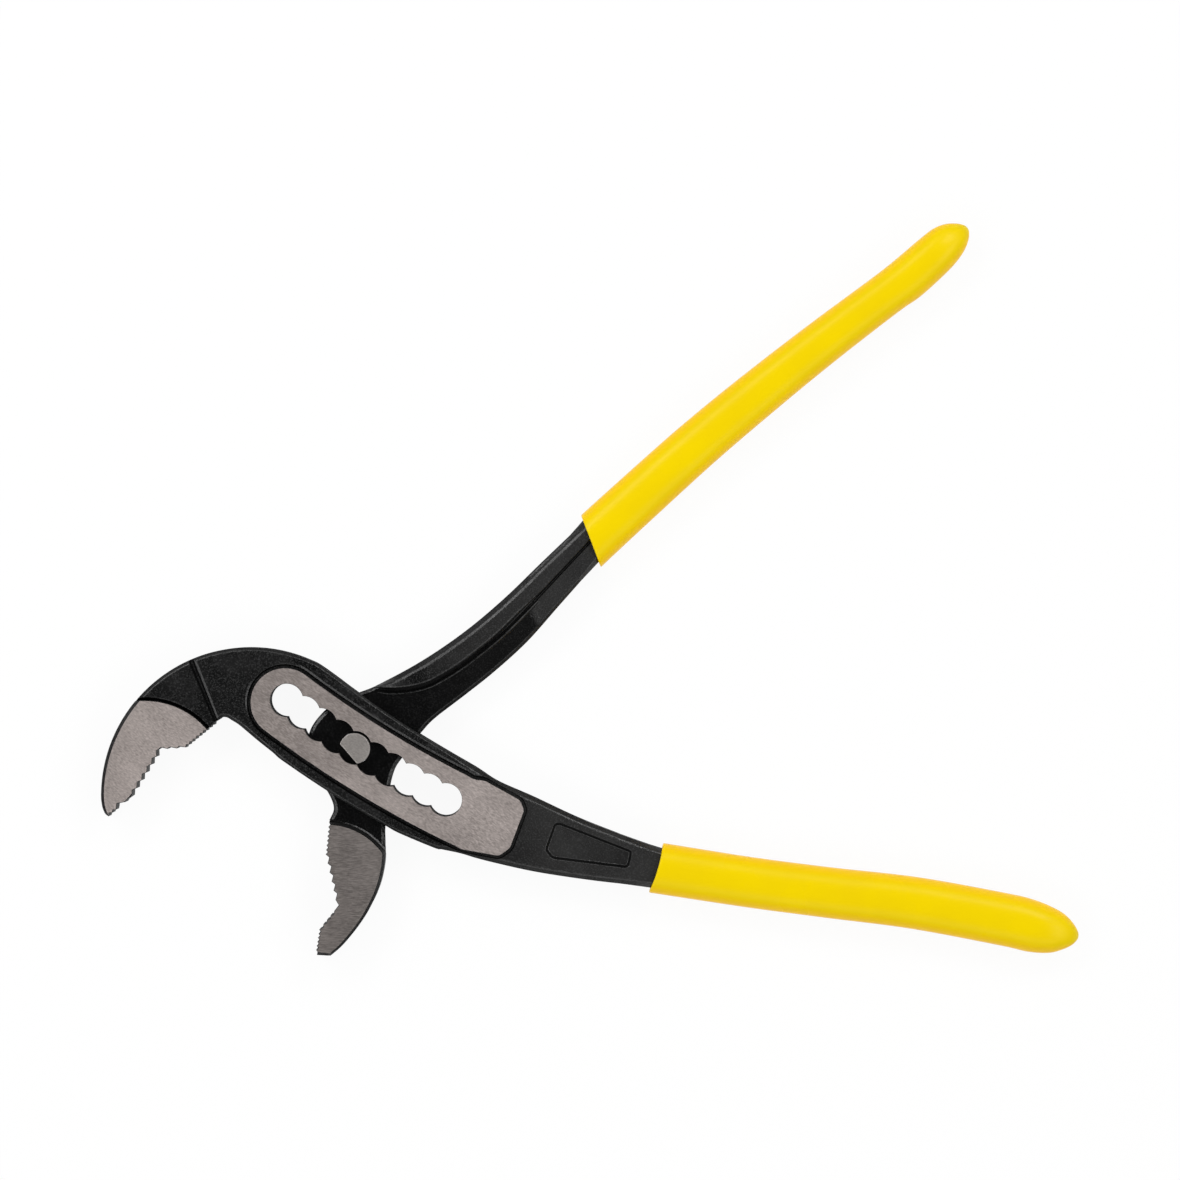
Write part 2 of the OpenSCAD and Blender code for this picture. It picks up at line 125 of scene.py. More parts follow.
# Each corner of a closed outline gives way to a curve whose ends lie "cut" away along both edges, or a
# little less than half an edge where it is short
def softCorners(points, cut, steps):
    p = np.asarray(points, float)
    back, ahead = np.roll(p, 1, 0) - p, np.roll(p, -1, 0) - p
    most = 0.45
    enter, leave = (p + edge * np.minimum(cut / np.linalg.norm(edge, axis=1), most)[:, None]
                    for edge in (back, ahead))
    t = np.linspace(0, 1, steps + 1)[None, :, None]
    bend = enter[:, None] * (1 - t) ** 2 + 2 * p[:, None] * t * (1 - t) + leave[:, None] * t**2
    return bend.reshape(-1, 2)


# The same for an open chain, whose two ends stay
def softChain(points, cut, steps):
    bends = softCorners(points, cut, steps).reshape(-1, steps + 1, 2)
    return np.vstack([points[:1], bends[1:-1].reshape(-1, 2), points[-1:]])


# An outline moved out by a distance: each point goes along the mitre of its two edges, which is held
# short at a sharp corner
def grown(outline, distance):
    edge = np.roll(outline, -1, 0) - outline
    out = unit(np.stack([edge[:, 1], -edge[:, 0]], -1))
    before = np.roll(out, 1, 0)
    share = 1 + (out * before).sum(1, keepdims=True)
    least = 0.5
    return outline + distance * (out + before) / np.maximum(share, least)


# For each point of one line, the point of another line that lies closest to it
def closest(line, other):
    gap = np.linalg.norm(line[:, None] - other[None], axis=2)
    return other[gap.argmin(1)]


# Surfaces

# A bar between two edge lines. At each station the section is as wide as the gap between the edges and
# twice "half" tall. The corner on each edge is (side, crown, profile): its width, which stops short of
# the middle, its height, and its points from the flat face out to the side, in shares of these two.
def barSurface(edgeA, edgeB, half, cornerA, cornerB):
    def column(value):
        return np.broadcast_to(value, len(edgeA))[:, None]

    reach = (edgeA - edgeB) / 2
    width = np.linalg.norm(reach, axis=1)[:, None]
    most = 0.95
    corners = []
    for side, crown, profile in (cornerA, cornerB):
        out, down = np.array(profile, float).T
        side = np.minimum(column(side), most * width)
        corners.append((1 - side * (1 - out) / width, column(half) - column(crown) * down))
    (uA, zA), (uB, zB) = corners
    u = np.hstack([uA[:, ::-1], -uB, -uB[:, ::-1], uA])
    z = np.hstack([zA[:, ::-1], zB, -zB[:, ::-1], -zA])
    plan = ((edgeA + edgeB) / 2)[:, None] + reach[:, None] * u[..., None]
    return np.concatenate([plan, midZ + z[..., None]], -1)


# Profiles for these corners
straightEdge = [(0, 0), (1, 1)]
softEdge = [(0, 0), (0.12, 0.02), (0.3, 0.1), (0.42, 0.22), (0.85, 0.78), (1, 1)]
crestEdge = [(0, 0), (0.08, 0.016), (0.16, 0.05), (0.38, 0.2), (0.44, 0.27), (1, 1)]
brokenEdge = [(0, 0), (0.1, 0.02), (0.25, 0.1), (0.7, 0.52), (0.8, 0.66), (1, 1)]
hollowEdge = [(0, 0), (0.25, 0.06), (0.5, 0.3), (1, 1)]
lipEdge = [(0, 0), (0.1, 0.02), (0.45, 0.2), (0.55, 0.35), (1, 1)]


# An outline carried up through levels, each a distance to grow it by and a height from the middle plane
def stackSurface(outline, levels):
    ahead = np.roll(outline, -1, 0)
    area = (outline[:, 0] * ahead[:, 1] - outline[:, 1] * ahead[:, 0]).sum()
    outline = outline if area > 0 else outline[::-1]
    return np.array([np.insert(grown(outline, by), 2, midZ + z, axis=1) for by, z in levels])


# A profile, as (across, up) points, carried along a line on one face of the tool. Each station has its
# own height of the face and its own share of the profile's size.
def profileSurface(profile, base, line, shares, face):
    profile, run = np.array(profile, float), np.gradient(line, axis=0)
    across = unit(np.stack([-run[:, 1], run[:, 0]], -1))
    shares, base = (np.broadcast_to(values, len(line))[:, None] for values in (shares, base))
    plan = line[:, None] + (shares * profile[:, 0])[..., None] * across[:, None]
    up = midZ + face * (base + shares * profile[:, 1])
    return np.concatenate([plan, up[..., None]], -1)


# A surface of one face, tilted so that it falls by a slope along a run from a place on it
def fallen(surface, place, run, slope):
    along = (surface[..., :2] - place) @ (run / np.linalg.norm(run))
    side = np.sign(surface[..., 2] - midZ)
    return np.concatenate([surface[..., :2], (surface[..., 2] - side * slope * along)[..., None]], -1)


# A surface whose points between two heights, on either face, are moved sideways
def leaned(surface, low, high, shift):
    rise = np.abs(surface[..., 2:] - midZ)
    moved = (rise > low) & (rise < high)
    return np.concatenate([surface[..., :2] + moved * shift, surface[..., 2:]], -1)


# A new object in the scene
def newObject(name, data):
    made = bpy.data.objects.new(name, data)
    bpy.context.scene.collection.objects.link(made)
    return made


# Mesh from a grid of rings: a quad between neighbours, each ring closed on itself, and both ends capped
def ringObject(name, rings):
    count, size = rings.shape[:2]
    k = np.arange(size)
    first = (np.arange(count - 1) * size)[:, None]
    ahead = (k + 1) % size
    quads = np.stack([first + k, first + ahead, first + size + ahead, first + size + k], -1).reshape(-1, 4)
    caps = [k[::-1].tolist(), (k + (count - 1) * size).tolist()]
    mesh = bpy.data.meshes.new(name)
    mesh.from_pydata(rings.reshape(-1, 3).tolist(), [], quads.tolist() + caps)
    work = bmesh.new()
    work.from_mesh(mesh)
    bmesh.ops.recalc_face_normals(work, faces=work.faces)
    work.to_mesh(mesh)
    work.free()
    return newObject(name, mesh)


# Cuts, joins or keeps what is common, one tool after another, and removes the tools
def worked(base, steps):
    for operation, tool in steps:
        change = base.modifiers.new(operation, "BOOLEAN")
        change.operation, change.object, change.solver = operation, tool, "MANIFOLD"
    made = bpy.data.meshes.new_from_object(base.evaluated_get(bpy.context.evaluated_depsgraph_get()))
    base.modifiers.clear()
    base.data = made
    for _, tool in steps:
        bpy.data.objects.remove(tool)
    return base


def cut(tool):
    return "DIFFERENCE", tool


def join(tool):
    return "UNION", tool


def keep(tool):
    return "INTERSECT", tool


# Levels of the upper half, repeated below the middle plane
def bothHalves(upper):
    return [(by, -z) for by, z in upper[::-1]] + upper


# A tool that is the same above and below, from the levels of its upper half
def evenTool(name, outline, upper):
    return ringObject(name, stackSurface(outline, bothHalves(upper)))


# Levels of an upper half that goes on past a height, where its edge is broken by so much out and down
def brokenLevels(height, out, down):
    return [(0, height - down), (out, height), (out, level["past"])]


# The same tool on the upper and the lower face, from a function that gives its surface for a face
def onBothFaces(name, surfaceOn):
    return [ringObject(name, surfaceOn(face)) for face in (1, -1)]


# Levels of a form sunk into one face: its profile is distances to grow by and depths below a height,
# and its last point goes straight on past the face
def sunkLevels(profile, height, face):
    levels = [(by, height - depth) for by, depth in profile] + [(profile[-1][0], level["past"])]
    return [(by, face * z) for by, z in levels]


# Steepness of a face by the upright part of its normal: 0 is flat, 1 is sloping and 2 is upright
steepness = [(0.2, 2), (0.35, 1), (0.74, 1), (0.87, 0)]
mergeWithin = 0.002
sharpPast = {"vinyl": 60, "pin": 30, "forging": 18}


# Last step for every piece: clean mesh, real scale, crisp edges past an angle, body, node and slot
def finishPiece(piece, body, node, material, sharp):
    work = bmesh.new()
    work.from_mesh(piece.data)
    bmesh.ops.remove_doubles(work, verts=work.verts, dist=mergeWithin)
    bmesh.ops.dissolve_degenerate(work, edges=work.edges, dist=mergeWithin)
    work.to_mesh(piece.data)
    work.free()
    facing = np.empty(3 * len(piece.data.polygons), np.float32)
    piece.data.polygons.foreach_get("normal", facing)
    steep = piece.data.attributes.new("steep", "FLOAT", "FACE")
    steep.data.foreach_set("value", valuesAt(np.abs(facing[2::3]), steepness).astype(np.float32))
    piece.data.transform(Matrix.Scale(mm, 4))
    piece.data.shade_smooth()
    piece.data.set_sharp_from_angle(angle=np.radians(sharp))
    piece.modifiers.new("evenShading", "WEIGHTED_NORMAL").keep_sharp = True
    piece.data.materials.clear()
    piece.data.materials.append(material)
    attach(piece, body)
    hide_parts(node)
    print("made", piece.name, len(piece.data.vertices), "points")


# Materials

# A number or a colour is set on a socket, and another node's output is linked to it
def feed(tree, socket, value):
    if isinstance(value, bpy.types.NodeSocket):
        tree.links.new(value, socket)
    else:
        socket.default_value = value


def mathNode(tree, operation, first, second):
    node = tree.nodes.new("ShaderNodeMath")
    node.operation = operation
    feed(tree, node.inputs[0], first)
    feed(tree, node.inputs[1], second)
    return node.outputs[0]


def product(tree, first, second):
    return mathNode(tree, "MULTIPLY", first, second)


# A value spread from one range onto another, held at its ends
def spread(tree, value, fromLow, fromHigh, toLow, toHigh):
    node = tree.nodes.new("ShaderNodeMapRange")
    for socket, given in zip(node.inputs, (value, fromLow, fromHigh, toLow, toHigh)):
        feed(tree, socket, given)
    return node.outputs[0]


# The same for a length, from a span in millimetres
def spreadLength(tree, length, span, toLow, toHigh):
    return spread(tree, length, span[0] * mm, span[1] * mm, toLow, toHigh)


def mixColour(tree, factor, first, second):
    node = tree.nodes.new("ShaderNodeMix")
    node.data_type = "RGBA"
    for place, value in ((0, factor), (6, first), (7, second)):
        feed(tree, node.inputs[place], (*value, 1) if isinstance(value, tuple) else value)
    return node.outputs[2]


def mixValue(tree, factor, first, second):
    node = tree.nodes.new("ShaderNodeMix")
    for place, value in ((0, factor), (2, first), (3, second)):
        feed(tree, node.inputs[place], value)
    return node.outputs[0]


def noise(tree, vector, scale, detail):
    node = tree.nodes.new("ShaderNodeTexNoise")
    node.inputs["Scale"].default_value = scale
    node.inputs["Detail"].default_value = detail
    tree.links.new(vector, node.inputs["Vector"])
    return node.outputs[0]


# Noise spread onto 0 to 1 from the part of its range between low and high
def patches(tree, vector, scale, detail, low, high):
    return spread(tree, noise(tree, vector, scale, detail), low, high, 0, 1)


def attributeOf(tree, name):
    node = tree.nodes.new("ShaderNodeAttribute")
    node.attribute_name = name
    return node.outputs["Fac"]


def axisOf(tree, vector, axis):
    split = tree.nodes.new("ShaderNodeSeparateXYZ")
    tree.links.new(vector, split.inputs[0])
    return split.outputs[axis]


# A node group whose outputs are all numbers
def newGroup(name, inputs, outputs):
    tree = bpy.data.node_groups.new(name, "ShaderNodeTree")
    for socket, kind in inputs.items():
        tree.interface.new_socket(socket, in_out="INPUT", socket_type="NodeSocket" + kind)
    for socket in outputs:
        tree.interface.new_socket(socket, in_out="OUTPUT", socket_type="NodeSocketFloat")
    return tree, tree.nodes.new("NodeGroupInput"), tree.nodes.new("NodeGroupOutput")


# Noises of the node groups: scale and detail, and for patches the low and the high end as well
grainNoise = {"Streak": (1, 2, 0.25, 0.75), "Cloud": (90, 3, 0.3, 0.7)}
skinNoise = {"pebble": (1500, 2), "dents": (260, 3), "dentShare": 1.6, "GlintFleck": (2300, 1, 0.5, 0.72),
             "Cloud": (130, 4, 0.3, 0.7)}


# Grinding lines: noise drawn out along one direction, as long as the material asks
def brushGrainGroup():
    tree, given, result = newGroup(
        "brushGrain", {"Place": "Vector", "Turn": "Float", "Spread": "Vector"}, ("Streak", "Cloud"))
    turned = tree.nodes.new("ShaderNodeVectorRotate")
    turned.rotation_type = "Z_AXIS"
    tree.links.new(given.outputs["Place"], turned.inputs["Vector"])
    tree.links.new(given.outputs["Turn"], turned.inputs["Angle"])
    lines = tree.nodes.new("ShaderNodeVectorMath")
    lines.operation = "MULTIPLY"
    tree.links.new(turned.outputs[0], lines.inputs[0])
    tree.links.new(given.outputs["Spread"], lines.inputs[1])
    for name, vector in (("Streak", lines.outputs[0]), ("Cloud", turned.outputs[0])):
        tree.links.new(patches(tree, vector, *grainNoise[name]), result.inputs[name])
    return tree


# Forged and blackened skin: a fine pebble, with a few larger dents and pale flecks, partly random tone and
# partly painted glints
def forgeSkinGroup():
    tree, given, result = newGroup("forgeSkin", {"Place": "Vector"}, ("Height", "GlintFleck", "Cloud"))
    place = given.outputs["Place"]
    pebble, dents = (noise(tree, place, *skinNoise[name]) for name in ("pebble", "dents"))
    height = mathNode(tree, "ADD", pebble, product(tree, dents, skinNoise["dentShare"]))
    tree.links.new(height, result.inputs["Height"])
    for name in ("GlintFleck", "Cloud"):
        tree.links.new(patches(tree, place, *skinNoise[name]), result.inputs[name])
    return tree


brushGrain = brushGrainGroup()
forgeSkin = forgeSkinGroup()


def newMaterial(name):
    material = bpy.data.materials.new(name)
    material.use_nodes = True
    tree = material.node_tree
    place = tree.nodes.new("ShaderNodeTexCoord").outputs["Object"]
    return material, tree, tree.nodes["Principled BSDF"], place


def placed(tree, group, place):
    node = tree.nodes.new("ShaderNodeGroup")
    node.node_tree = group
    tree.links.new(place, node.inputs["Place"])
    return node


# Colour, metal, roughness and gloss of a shader
def dress(tree, shader, *values):
    for name, value in zip(("Base Color", "Metallic", "Roughness", "Specular IOR Level"), values):
        feed(tree, shader.inputs[name], value)


def bumped(tree, shader, height, look):
    bump = tree.nodes.new("ShaderNodeBump")
    bump.inputs["Distance"].default_value = look["bump"] * mm
    bump.inputs["Strength"].default_value = look["bumpStrength"]
    tree.links.new(height, bump.inputs["Height"])
    tree.links.new(bump.outputs[0], shader.inputs["Normal"])


# Height of a point above or below the middle plane
def riseOf(tree, place):
    return mathNode(tree, "ABSOLUTE", mathNode(tree, "SUBTRACT", axisOf(tree, place, "Z"), midZ * mm), 0)


# Ground steel: two tones along the grinding lines, clouded a little, and darkened round one place by
# painted shade if the look names it
def groundSteel(tree, place, look):
    grain = placed(tree, brushGrain, place)
    grain.inputs["Turn"].default_value = np.radians(look["grainTurn"])
    grain.inputs["Spread"].default_value = look["grainSpread"]
    streak, share = grain.outputs["Streak"], look["streakShare"]
    cloud = product(tree, grain.outputs["Cloud"], 1 - share)
    tone = mathNode(tree, "ADD", product(tree, streak, share), cloud)
    rough = spread(tree, tone, 0, 1, *look["steelRough"])
    # Painted shade: the steel is darkened round one place
    if "shadeAt" in look:
        away = tree.nodes.new("ShaderNodeVectorMath")
        away.operation = "DISTANCE"
        tree.links.new(place, away.inputs[0])
        away.inputs[1].default_value = (*look["shadeAt"] * mm, midZ * mm)
        shadeDepth = spreadLength(tree, away.outputs["Value"], look["shadeSpan"], look["shadeDepth"], 0)
        tone = mathNode(tree, "SUBTRACT", tone, shadeDepth)
    return mixColour(tree, tone, look["steelDark"], look["steel"]), rough, streak


# Black forging whose highest faces are ground bright: the two finishes part by height from the middle.
# The skin is painted darker towards the head and lighter grey along the handle, as painted shade by the box,
# and the low blade and the sloping faces are painted darker as painted shade.
def forgedMaterial(name, look):
    material, tree, shader, place = newMaterial(name)
    rise, slope = riseOf(tree, place), attributeOf(tree, "steep")
    steep = spread(tree, slope, 0, 1, 0, 1)
    upright = spread(tree, slope, 1, 2, 0, look["uprightRough"])
    face = mathNode(tree, "SUBTRACT", 1.0, steep)
    ground = product(tree, spreadLength(tree, rise, look["groundSpan"], 0, 1), face)
    # Mask of the low blade in the recess: it gives painted shade in the colour and a smoother finish
    blade = spreadLength(tree, rise, look["bladeSpan"], 1, 0)
    skin = placed(tree, forgeSkin, place)
    black = mixColour(tree, skin.outputs["Cloud"], look["blackDeep"], look["black"])
    # Painted shade: darker skin towards the head, lighter grey along the handle
    pastHeadShade = spreadLength(tree, axisOf(tree, place, "X"), look["headShadeSpan"], 0, 1)
    black = mixColour(tree, pastHeadShade, black, look["pastHeadShade"])
    # Painted shade on the low recess and on the sloping faces
    paintedShade = mathNode(tree, "MAXIMUM", product(tree, blade, look["bladeShare"]), steep)
    black = mixColour(tree, paintedShade, black, look["blade"])
    # Pale flecks, partly random tone and partly painted glints, fewer under painted shade
    glintFleckShare = spread(tree, paintedShade, 0, 1, *look["glintFleckShare"])
    black = mixColour(tree, product(tree, skin.outputs["GlintFleck"], glintFleckShare), black, look["glintFleck"])
    bright, roughBright, streak = groundSteel(tree, place, look)
    roughBlack = spread(tree, skin.outputs["Cloud"], 0, 1, *look["blackRough"])
    smoother = product(tree, product(tree, blade, look["bladeSmooth"]), face)
    roughBlack = mathNode(tree, "SUBTRACT", roughBlack, smoother)
    roughBlack = mathNode(tree, "ADD", roughBlack, upright)
    dress(tree, shader, mixColour(tree, ground, black, bright), ground,
          mixValue(tree, ground, roughBlack, roughBright), look["blackGloss"])
    lines = product(tree, streak, look["streakBump"])
    bumped(tree, shader, mixValue(tree, ground, skin.outputs["Height"], lines), look)
    return material


# The pin's ends are ground, and the shoulder below its flat is as dark as the blade round it
def pinMaterial(look):
    material, tree, shader, place = newMaterial("pinSteel")
    ground = spreadLength(tree, riseOf(tree, place), look["darkSpan"], 0, 1)
    bright, rough, streak = groundSteel(tree, place, look)
    colour = mixColour(tree, ground, look["shoulder"], bright)
    dress(tree, shader, colour, ground, rough, look["shoulderGloss"])
    bumped(tree, shader, streak, look)
    return material


# Dipped vinyl: painted shade as deeper amber round the sides, faint clouding, and the slight orange peel of a
# dip
def vinylMaterial(look):
    material, tree, shader, place = newMaterial("yellowVinyl")
    # Painted shade: deeper amber towards the sides
    side = spread(tree, attributeOf(tree, "rim"), look["sideShadeFrom"], 1, 0, 1)
    cloud = noise(tree, place, *look["cloud"])
    deeper = spread(tree, cloud, *look["cloudSpan"], 0, 1)
    middle = mixColour(tree, deeper, look["yellow"], look["yellowDeep"])
    rough = spread(tree, cloud, *look["roughSpan"], *look["rough"])
    dress(tree, shader, mixColour(tree, side, middle, look["sideShadeAmber"]), 0, rough, look["gloss"])
    bumped(tree, shader, noise(tree, place, *look["peel"]), look)
    return material


# A span is the heights, or the distances along the tool, between which one finish gives way to another
outerLook = {
    "steel": (0.66, 0.585, 0.555), "steelDark": (0.31, 0.272, 0.255), "steelRough": (0.43, 0.53),
    "grainTurn": 32.6, "grainSpread": (1000, 3540, 3540), "streakShare": 0.75, "groundSpan": (6.84, 6.87),
    "black": (0.0045, 0.0045, 0.0046), "blackDeep": (0.0015, 0.0015, 0.0016), "blackRough": (0.21, 0.33),
    # Pale flecks: partly random tone and partly painted glints
    "blackGloss": 0.38, "uprightRough": 0.4, "glintFleck": (0.06, 0.06, 0.06), "glintFleckShare": (0.45, 0.08),
    # Painted shade: the skin colour along the handle and the dark colour of the low blade
    "pastHeadShade": (0.0185, 0.0183, 0.0181), "headShadeSpan": (34, 62), "blade": (0.0012, 0.0012, 0.0013),
    "bladeSpan": (2.9, 4.1), "bladeShare": 0.85, "bladeSmooth": 0.1, "bump": 0.15, "bumpStrength": 0.8,
    "streakBump": 0.08}
# Painted shade darkens the ground cheek round the first lobe
cheekShade = {"shadeAt": firstLobe, "shadeSpan": (13, 36), "shadeDepth": 0.36}
innerLook = {
    **outerLook, "steel": (0.335, 0.302, 0.285), "steelDark": (0.15, 0.134, 0.126), "grainTurn": 0,
    "grainSpread": (620, 4000, 4000), "headShadeSpan": (19, 46), "bladeSpan": (4.05, 4.3)}
pinLook = {
    "steel": (0.52, 0.485, 0.46), "steelDark": (0.31, 0.288, 0.272), "steelRough": (0.41, 0.51),
    "grainTurn": 20, "grainSpread": (1500, 2800, 2800), "streakShare": 0.75, "darkSpan": (3, 3.1),
    "shoulder": (0.003, 0.003, 0.003), "shoulderGloss": 0.15, "bump": 0.02, "bumpStrength": 0.4}
vinylLook = {
    # The amber colour is painted shade round the grip's sides
    "yellow": (0.825, 0.605, 0.0005), "yellowDeep": (0.795, 0.575, 0.0005), "sideShadeAmber": (0.93, 0.55, 0.0008),
    "sideShadeFrom": 0.62, "cloud": (60, 3), "cloudSpan": (0.35, 0.65), "rough": (0.24, 0.34),
    "roughSpan": (0.3, 0.7), "gloss": 0.1, "peel": (420, 2), "bump": 0.04, "bumpStrength": 0.3}
outerSteel = forgedMaterial("outerForging", {**outerLook, **cheekShade})
innerSteel = forgedMaterial("innerForging", innerLook)
pinSteel = pinMaterial(pinLook)
yellowVinyl = vinylMaterial(vinylLook)
print("materials ready")


# Grips

# Both sleeves: sizes, steps, the length of the solid tip, the slimming of the steel's end, the powers
# that square up the oval outside and inside, the round lip, and the domed tip
grip = {
    "half": 6.8, "wall": 1.7, "fit": 0.08, "ring": 64, "perSpan": 8, "perTang": 3, "end": 7, "endGap": 2,
    "tangRound": 2, "tangSlim": 2, "tangTaper": 6, "bowLength": 20, "outerPower": 0.88,
    "innerPower": 0.42, "lipSteps": 8, "lipReach": 0.55, "lipClear": 0.6, "lipPower": 0.6,
    "domeLength": 15, "domeLeast": 0.02, "tipOut": 0.17, "tipShare": 0.55}

# Stations of a grip: distance from the mouth, offset of the centre line, half width, slant of the mouth
outerGrip = {"length": 134.5, "at": lastLobe + (66.2, -21.4), "turn": -8.8, "bow": 0.5}
outerGrip["stations"] = [(0, 0, 8.05, 0.13), (30, 0, 7.95, 0), (55, 0.6, 8, 0), (82, 1.5, 8.2, 0)] + [
    (outerGrip["length"] - back, offset, half, 0) for back, offset, half in (
        (24, 0.7, 8.3), (15, 0, 8.2), (8.5, -0.5, 7.1), (4.5, -0.6, 5.4), (1.5, -0.9, 3.1), (0, -1, 1))]
innerGrip = {"length": 154, "at": np.array((74, 65.1)), "turn": 39.7, "bow": 0}
innerGrip["stations"] = [
    (0, -0.1, 8.3, 0.34), (20, 0.9, 8.05, 0.1), (45, 1.9, 7.8, 0), (70, 2, 7.5, 0), (95, 1.5, 7.1, 0)] + [
    (innerGrip["length"] - back, offset, half, 0) for back, offset, half in (
        (34, 0.4, 6.8), (25, -0.1, 7), (14, 0.2, 6.8), (8.5, 0.5, 6.3), (4.5, 0.5, 5), (1.5, 0.3, 2.9),
        (0, 0.2, 1))]


# Points across a grip's stations: u runs from -1 to 1 over the width left inside a wall
def acrossGrip(sleeve, stations, wall, u):
    along, side = polar(1, sleeve["turn"]), polar(1, sleeve["turn"] + 90)
    distance, offset, half, slant = (stations[:, i:i + 1] for i in range(4))
    width = half - wall
    bow = sleeve["bow"] * np.maximum(0, 1 - distance / grip["bowLength"]) * (1 - u**2)
    ahead = distance + slant * u * width + bow
    return sleeve["at"] + ahead[..., None] * along + (offset + u * width)[..., None] * side


# The steel's two edges inside a grip, ending short of its tip with the offset and, slimmed, the width
# of stations near it
def tangEdges(sleeve):
    stations = np.array(sleeve["stations"], float)
    line = smoothLine(stations, grip["perTang"])
    end = sleeve["length"] - grip["end"]
    last = (end, stations[-4, 1], stations[-5, 2] - grip["tangSlim"], 0)
    line = np.vstack([line[line[:, 0] < end - grip["tangTaper"]], last])
    edges = acrossGrip({**sleeve, "bow": 0}, line, grip["wall"], np.array([[1.0, -1.0]]))
    return edges[:, 0], edges[:, 1]


# A value raised to a power, with its sign kept
def signedPower(value, power):
    return np.sign(value) * np.abs(value) ** power


# A dipped sleeve: soft oval sections from the tip back to the mouth, round the lip, and in along the
# steel. An oval's point at angle t is cos t and sin t, each raised to a power that squares it up. The
# share of the wall behind a section runs from 0 outside to 1 inside.
def gripPiece(name, sleeve):
    t = np.linspace(0, 2 * np.pi, grip["ring"], endpoint=False)
    line = smoothLine(sleeve["stations"], grip["perSpan"])
    distance = line[:, 0]
    end = sleeve["length"] - grip["end"] - grip["endGap"]
    outside = line[distance > grip["lipClear"]]
    inside = line[(distance > grip["endGap"]) & (distance < end)][::2]
    lip = np.linspace(0, np.pi, grip["lipSteps"] + 1)
    mouth = np.repeat(line[:1], len(lip), 0)
    mouth[:, 0] = grip["lipReach"] * (1 - np.sin(lip) ** grip["lipPower"])
    stations = np.vstack([outside[::-1], mouth, inside])
    lipShare = (1 - signedPower(np.cos(lip), grip["lipPower"])) / 2
    share = np.concatenate([np.zeros(len(outside)), lipShare, np.ones(len(inside))])[:, None]
    walls = share * (grip["wall"] - grip["fit"])
    power = grip["outerPower"] + (grip["innerPower"] - grip["outerPower"]) * share
    near = np.maximum(0, 1 - (sleeve["length"] - stations[:, :1]) / grip["domeLength"])
    dome = grip["half"] * np.sqrt(np.maximum(grip["domeLeast"], 1 - near**2))
    half = dome + (level["core"] + grip["fit"] - grip["half"]) * share
    u = signedPower(np.cos(t), power)
    z = half * signedPower(np.sin(t), power)
    rings = np.concatenate([acrossGrip(sleeve, stations, walls, u), midZ + z[..., None]], -1)
    tip = rings[0].mean(0) + np.append(polar(grip["tipOut"], sleeve["turn"]), 0)
    rings[0] = tip + (rings[0] - tip) * grip["tipShare"]
    piece = ringObject(name, rings)
    rim = piece.data.attributes.new("rim", "FLOAT", "POINT")
    rim.data.foreach_set("value", np.abs(u).ravel().astype(np.float32))
    return piece


outerSleeve = gripPiece("dipped_grip_lower", outerGrip)
innerSleeve = gripPiece("dipped_grip_upper", innerGrip)
finishPiece(outerSleeve, "outer", "outer_grip", yellowVinyl, sharpPast["vinyl"])
finishPiece(innerSleeve, "inner", "inner_grip", yellowVinyl, sharpPast["vinyl"])


# Pin: a polar radius at each level, cut back to a flat where the end is D-shaped
pin = {"flat": 2.6, "flatTurn": -139, "edge": 0.3, "edgeSteps": 4, "ring": 120, "leastCos": 0.1}


def pinPiece():
    corner = np.degrees(np.arccos(pin["flat"] / pinRadius))
    turn = np.unique(np.append(np.linspace(-180, 180, pin["ring"], endpoint=False), (-corner, corner)))
    ease = np.linspace(0, 90, pin["edgeSteps"] + 1)
    inset = pin["edge"] * (1 - np.sin(np.radians(ease)))
    rise = level["cheek"] - pin["edge"] * (1 - np.cos(np.radians(ease)))
    shrink = np.concatenate([inset, [0, 0], [0, 0], inset[::-1]])
    height = np.concatenate([-rise, [-level["window"]] * 2, [level["window"]] * 2, rise[::-1]])
    flatted = np.abs(height) > level["window"] + nudge
    flatted[[len(ease), -len(ease) - 1]] = True
    radius = np.broadcast_to(pinRadius - shrink[:, None], (len(height), len(turn)))
    cos = np.cos(np.radians(turn))
    facing = cos > (pin["flat"] - nudge) / pinRadius
    flat = (pin["flat"] - shrink[:, None]) / np.maximum(cos, pin["leastCos"])
    radius = np.where(flatted[:, None] & facing, np.minimum(radius, flat), radius)
    plan = radius[..., None] * polar(1, turn + pin["flatTurn"])
    return ringObject("joint_pin_ground", np.insert(plan, 2, midZ + height[:, None], axis=2))


finishPiece(pinPiece(), "pin", "joint_pin", pinSteel, sharpPast["pin"])


